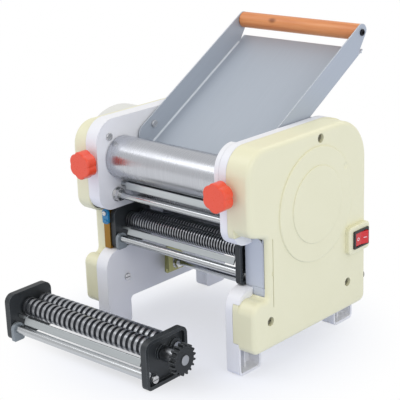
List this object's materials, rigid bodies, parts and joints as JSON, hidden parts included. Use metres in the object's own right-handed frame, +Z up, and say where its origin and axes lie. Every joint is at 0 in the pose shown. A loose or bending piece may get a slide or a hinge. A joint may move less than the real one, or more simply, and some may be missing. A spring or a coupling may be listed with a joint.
{
  "type": "electric pasta maker",
  "caption": "Electric dough sheeter and noodle cutter with lobed gap knobs, feed tray with wooden handle, fitted fine cutter, spare wide cutter and rocker switch",
  "frame": {"origin": "centre of the whole set's footprint, at table level", "axes": "+X along the rollers towards the switch side, -Y the front where the noodles come out, +Z up"},
  "size_m": [0.3306, 0.3612, 0.3487],
  "materials": {
    "left_inner_panel": "satin moulded",
    "right_inner_panel": "satin moulded",
    "left_outer_cover": "satin moulded",
    "right_outer_cover": "satin moulded",
    "motor_cover": "satin moulded",
    "cheek_plate": "satin moulded",
    "bay_lower_plate": "satin grey",
    "cutter_guide_plate": "yellow zinc plated",
    "motor_bracket": "yellow zinc plated",
    "rear_cover": "satin moulded",
    "inner_guard": "sheet",
    "tie_rods": "machined",
    "tie_rod_nuts": "bright",
    "roller_scrapers": "brushed",
    "panel_screws": "bright",
    "cover_screws": "bright",
    "rear_roller_bushes": "sintered",
    "switch_frame": "satin",
    "motor_body": "painted",
    "motor_spacers": "machined",
    "cord_gland": "matte",
    "idler_bracket": "machined",
    "fine_cutter_left_plate": "dark coated",
    "fine_cutter_right_plate": "dark coated",
    "fine_cutter_scrapers": "brushed",
    "fine_cutter_screws": "bright",
    "rear_roller": "machined",
    "rear_roller_gears": "machined",
    "bearing_blocks": "brushed",
    "front_roller": "machined",
    "front_roller_gear": "machined",
    "left_knob": "glossy",
    "left_adjust_screw": "machined",
    "right_knob": "glossy",
    "right_adjust_screw": "machined",
    "drive_shaft": "machined",
    "motor_pinion": "machined",
    "idler_gear": "machined",
    "fine_cutter_front_roller": "machined",
    "fine_cutter_front_gears": "dark coated",
    "fine_cutter_rear_roller": "machined",
    "fine_cutter_rear_gear": "dark coated",
    "fine_cutter_latch_rod": "machined",
    "fine_cutter_latch_lever": "coated",
    "tray": "brushed",
    "tray_handle": "varnished",
    "tray_screws": "bright",
    "switch_rocker": "translucent red",
    "cutter_clip": "glossy",
    "bay_door": "satin grey",
    "wide_cutter_left_plate": "dark coated",
    "wide_cutter_right_plate": "dark coated",
    "wide_cutter_scrapers": "brushed",
    "wide_cutter_screws": "bright",
    "wide_cutter_front_roller": "machined",
    "wide_cutter_front_gears": "dark coated",
    "wide_cutter_rear_roller": "machined",
    "wide_cutter_rear_gear": "dark coated",
    "wide_cutter_latch_rod": "machined",
    "wide_cutter_latch_lever": "coated"
  },
  "bodies": {
    "machine": {"left_inner_panel": "left_inner_panel", "right_inner_panel": "right_inner_panel", "left_outer_cover": "left_outer_cover", "right_outer_cover": "right_outer_cover", "motor_cover": "motor_cover", "cheek_plate": "cheek_plate", "bay_lower_plate": "bay_lower_plate", "cutter_guide_plate": "cutter_guide_plate", "motor_bracket": "motor_bracket", "rear_cover": "rear_cover", "inner_guard": "inner_guard", "tie_rods": "tie_rods", "tie_rod_nuts": "tie_rod_nuts", "roller_scrapers": "roller_scrapers", "panel_screws": "panel_screws", "cover_screws": "cover_screws", "rear_roller_bushes": "rear_roller_bushes", "switch_frame": "switch_frame", "motor_body": "motor_body", "motor_spacers": "motor_spacers", "cord_gland": "cord_gland", "idler_bracket": "idler_bracket", "fine_cutter_left_plate": "fine_cutter_left_plate", "fine_cutter_right_plate": "fine_cutter_right_plate", "fine_cutter_scrapers": "fine_cutter_scrapers", "fine_cutter_screws": "fine_cutter_screws"},
    "rear_roller": {"rear_roller": "rear_roller", "rear_roller_gears": "rear_roller_gears"},
    "roller_carriage": {"bearing_blocks": "bearing_blocks"},
    "front_roller": {"front_roller": "front_roller", "front_roller_gear": "front_roller_gear"},
    "left_knob": {"left_knob": "left_knob", "left_adjust_screw": "left_adjust_screw"},
    "right_knob": {"right_knob": "right_knob", "right_adjust_screw": "right_adjust_screw"},
    "drive_shaft": {"drive_shaft": "drive_shaft", "motor_pinion": "motor_pinion"},
    "idler_gear": {"idler_gear": "idler_gear"},
    "fine_front_roller": {"fine_cutter_front_roller": "fine_cutter_front_roller", "fine_cutter_front_gears": "fine_cutter_front_gears"},
    "fine_rear_roller": {"fine_cutter_rear_roller": "fine_cutter_rear_roller", "fine_cutter_rear_gear": "fine_cutter_rear_gear"},
    "fine_latch": {"fine_cutter_latch_rod": "fine_cutter_latch_rod", "fine_cutter_latch_lever": "fine_cutter_latch_lever"},
    "tray": {"tray": "tray", "tray_handle": "tray_handle", "tray_screws": "tray_screws"},
    "switch_rocker": {"switch_rocker": "switch_rocker"},
    "cutter_clip": {"cutter_clip": "cutter_clip"},
    "bay_door": {"bay_door": "bay_door"},
    "wide_cutter": {"wide_cutter_left_plate": "wide_cutter_left_plate", "wide_cutter_right_plate": "wide_cutter_right_plate", "wide_cutter_scrapers": "wide_cutter_scrapers", "wide_cutter_screws": "wide_cutter_screws"},
    "wide_front_roller": {"wide_cutter_front_roller": "wide_cutter_front_roller", "wide_cutter_front_gears": "wide_cutter_front_gears"},
    "wide_rear_roller": {"wide_cutter_rear_roller": "wide_cutter_rear_roller", "wide_cutter_rear_gear": "wide_cutter_rear_gear"},
    "wide_latch": {"wide_cutter_latch_rod": "wide_cutter_latch_rod", "wide_cutter_latch_lever": "wide_cutter_latch_lever"}
  },
  "joints": [
    {"name": "rear_roller_spin", "type": "hinge", "parent": "machine", "child": "rear_roller", "pos_m": [0.02073, -0.01562, 0.17243], "axis": [1, 0, 0], "continuous": true},
    {"name": "roller_gap_slide", "type": "slide", "parent": "machine", "child": "roller_carriage", "axis": [0, -1, 0], "range_m": [0, 0.002]},
    {"name": "front_roller_spin", "type": "hinge", "parent": "roller_carriage", "child": "front_roller", "pos_m": [0.02073, -0.05157, 0.21], "axis": [1, 0, 0], "continuous": true},
    {"name": "left_knob_turn", "type": "hinge", "parent": "machine", "child": "left_knob", "pos_m": [-0.08227, -0.10557, 0.21], "axis": [0, -1, 0], "range_deg": [0, 720]},
    {"name": "right_knob_turn", "type": "hinge", "parent": "machine", "child": "right_knob", "pos_m": [0.12373, -0.10557, 0.21], "axis": [0, -1, 0], "range_deg": [0, 720]},
    {"name": "drive_shaft_spin", "type": "hinge", "parent": "machine", "child": "drive_shaft", "pos_m": [0.02073, 0.02463, 0.18443], "axis": [1, 0, 0], "continuous": true},
    {"name": "idler_gear_spin", "type": "hinge", "parent": "machine", "child": "idler_gear", "pos_m": [0.14273, -0.01317, 0.13], "axis": [1, 0, 0], "continuous": true},
    {"name": "fine_front_roller_spin", "type": "hinge", "parent": "machine", "child": "fine_front_roller", "pos_m": [0.02073, -0.04207, 0.13], "axis": [1, 0, 0], "continuous": true},
    {"name": "fine_rear_roller_spin", "type": "hinge", "parent": "machine", "child": "fine_rear_roller", "pos_m": [0.02073, -0.02407, 0.13], "axis": [1, 0, 0], "continuous": true},
    {"name": "fine_latch_swing", "type": "hinge", "parent": "machine", "child": "fine_latch", "pos_m": [0.02073, -0.06157, 0.1115], "axis": [-1, 0, 0], "range_deg": [0, 90]},
    {"name": "tray_swing", "type": "hinge", "parent": "machine", "child": "tray", "pos_m": [0.02073, 0.00162, 0.23862], "axis": [1, 0, 0], "range_deg": [0, 62]},
    {"name": "switch_rock", "type": "hinge", "parent": "machine", "child": "switch_rocker", "pos_m": [0.15873, 0.10043, 0.115], "axis": [0, 0, 1], "range_deg": [0, 18]},
    {"name": "cutter_clip_turn", "type": "hinge", "parent": "machine", "child": "cutter_clip", "pos_m": [-0.08347, -0.07157, 0.1433], "axis": [0, 1, 0], "range_deg": [0, 60]},
    {"name": "bay_door_swing", "type": "hinge", "parent": "machine", "child": "bay_door", "pos_m": [0.14643, -0.05867, 0.127], "axis": [0, 0, 1], "range_deg": [0, 100]},
    {"name": "wide_cutter_lift", "type": "slide", "parent": "machine", "child": "wide_cutter", "axis": [0, 0, 1], "range_m": [0, 0.15]},
    {"name": "wide_front_roller_spin", "type": "hinge", "parent": "wide_cutter", "child": "wide_front_roller", "pos_m": [-0.03668, -0.14816, 0.03591], "axis": [0.9998, 0.0213, 0], "continuous": true},
    {"name": "wide_rear_roller_spin", "type": "hinge", "parent": "wide_cutter", "child": "wide_rear_roller", "pos_m": [-0.03712, -0.12764, 0.03591], "axis": [0.9998, 0.0213, 0], "continuous": true},
    {"name": "wide_latch_swing", "type": "hinge", "parent": "wide_cutter", "child": "wide_latch", "pos_m": [-0.03621, -0.17038, 0.01482], "axis": [-0.9998, -0.0213, 0], "range_deg": [0, 90]}
  ],
  "couplings": [
    {"joint": "front_roller_spin", "follows": "rear_roller_spin", "ratio": -1},
    {"joint": "drive_shaft_spin", "follows": "rear_roller_spin", "ratio": -3.2},
    {"joint": "idler_gear_spin", "follows": "rear_roller_spin", "ratio": -1.9412},
    {"joint": "fine_front_roller_spin", "follows": "rear_roller_spin", "ratio": 1.9412},
    {"joint": "fine_rear_roller_spin", "follows": "rear_roller_spin", "ratio": -1.9412},
    {"joint": "wide_rear_roller_spin", "follows": "wide_front_roller_spin", "ratio": -1}
  ]
}
